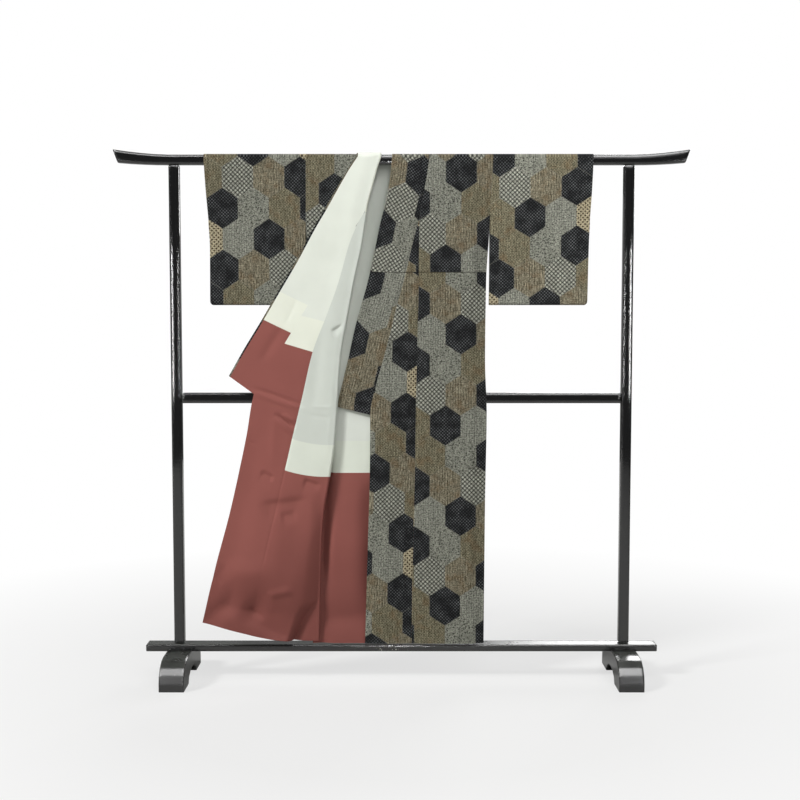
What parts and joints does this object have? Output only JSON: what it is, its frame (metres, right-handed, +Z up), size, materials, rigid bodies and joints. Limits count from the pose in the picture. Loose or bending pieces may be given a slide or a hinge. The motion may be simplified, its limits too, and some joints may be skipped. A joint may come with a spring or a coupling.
{
  "type": "silk kimono on a kimono rack",
  "caption": "Lined kimono with a hexagon patchwork weave, draped over a black lacquered floor rack, its left front turned out to show the lining.",
  "frame": {"origin": "on the floor under the middle of the rack", "axes": "+Z up, +X to the right as the rack is seen from the front, -Y out of the front"},
  "size_m": [1.842, 0.34, 1.7178],
  "materials": {
    "black_lacquer": "gloss lacquer",
    "patterned_silk": "woven silk with a dull sheen",
    "white_silk_lining": "plain silk",
    "red_silk_lining": "plain silk"
  },
  "bodies": {
    "root": {"top_bar": "black_lacquer", "base_rail": "black_lacquer", "mid_rail": "black_lacquer", "post_left": "black_lacquer", "post_right": "black_lacquer", "foot_left": "black_lacquer", "foot_right": "black_lacquer", "body_left": "patterned_silk", "body_right": "patterned_silk", "overlap_left": "patterned_silk", "overlap_right": "patterned_silk", "collar_left": "patterned_silk", "collar_right": "patterned_silk", "collar_back": "patterned_silk", "sleeve_left": "patterned_silk", "sleeve_right": "patterned_silk", "body_lining_left": "white_silk_lining", "overlap_lining_left": "white_silk_lining", "back_lining": "white_silk_lining", "collar_lining_left": "white_silk_lining", "body_hem_lining_left": "red_silk_lining", "overlap_hem_lining_left": "red_silk_lining", "back_hem_lining": "red_silk_lining", "collar_end_lining_left": "red_silk_lining"}
  },
  "joints": []
}
